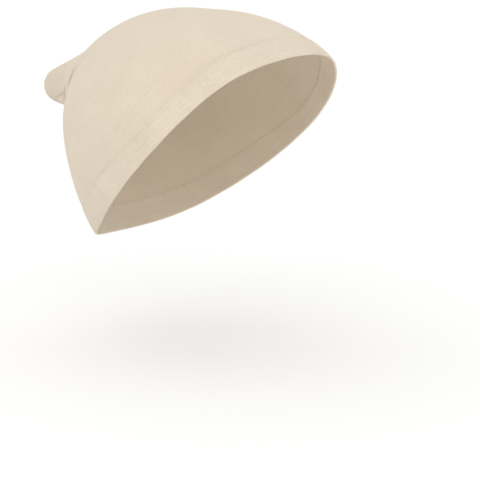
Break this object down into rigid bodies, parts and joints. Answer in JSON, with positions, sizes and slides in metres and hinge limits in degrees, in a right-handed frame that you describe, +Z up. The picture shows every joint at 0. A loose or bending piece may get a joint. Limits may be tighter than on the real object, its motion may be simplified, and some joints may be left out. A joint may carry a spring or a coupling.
{
  "type": "wig cap",
  "caption": "Beige knitted stocking wig cap in its worn shape: stretched crown, doubled hem band round the hairline and nape, and a closed toe that stands out at the back.",
  "frame": {"origin": "inside of the crown, straight over the middle of the worn form, where the cap sits on the head", "axes": "+Z up, -Y to the front, +Y to the back along the toe, -X to the wearer's right"},
  "size_m": [0.1538, 0.2066, 0.1453],
  "materials": {
    "band_knit": "matte doubled nylon knit",
    "crown_knit": "matte fine nylon knit"
  },
  "bodies": {
    "root": {"hem_band": "band_knit", "crown": "crown_knit", "toe": "crown_knit"}
  },
  "joints": []
}
